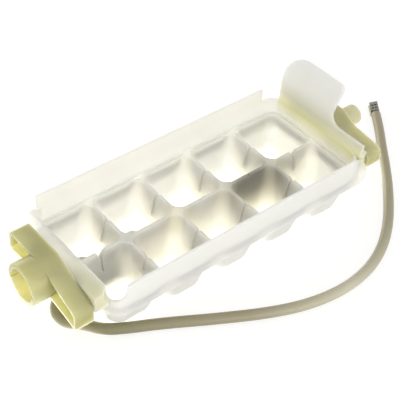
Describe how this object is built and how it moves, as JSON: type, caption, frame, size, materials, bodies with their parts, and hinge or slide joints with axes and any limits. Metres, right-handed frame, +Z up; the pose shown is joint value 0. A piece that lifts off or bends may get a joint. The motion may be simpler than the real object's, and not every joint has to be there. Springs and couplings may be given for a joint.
{
  "type": "ice maker twist tray",
  "caption": "Twist tray of an automatic ice maker: deep round-cornered cells in a low basin, a tall flap, a hollow drive hub, an idle pin, and a sensor lead ending in a small plug.",
  "frame": {"origin": "centre of the drive hub's mouth, on the line that the tray turns and twists about", "axes": "+X along that line from the drive hub to the idle pin, +Y towards the tall back flange, +Z up"},
  "size_m": [0.2952, 0.1246, 0.075],
  "materials": {
    "natural_tray": "satin, milky",
    "cream_yoke": "satin",
    "sensor_steel": "satin",
    "foam": "matte",
    "screw_steel": "plated",
    "lead_jacket": "satin",
    "wire_insulation": "matte",
    "connector_dark": "satin",
    "connector_pale": "satin",
    "terminal_metal": "tinned"
  },
  "bodies": {
    "tray": {"ice_tray": "natural_tray", "drive_end_yoke": "cream_yoke", "thermistor_capsule": "sensor_steel", "lead_grommet": "lead_jacket", "insulation_pad": "foam", "sensor_cover": "natural_tray", "cover_screw": "screw_steel", "lead_sleeve": "lead_jacket", "lead_wires": "wire_insulation", "connector_housing": "connector_dark", "connector_terminals": "terminal_metal", "connector_latch": "connector_pale"},
    "idle_end": {"idle_end_yoke": "cream_yoke"}
  },
  "joints": [
    {"name": "tray_twist", "type": "hinge", "parent": "tray", "child": "idle_end", "pos_m": [0.2175, 0, 0], "axis": [1, 0, 0], "range_deg": [-30, 30], "stiffness_Nm_per_rad": 0.6, "deforming": ["ice_tray"]}
  ]
}
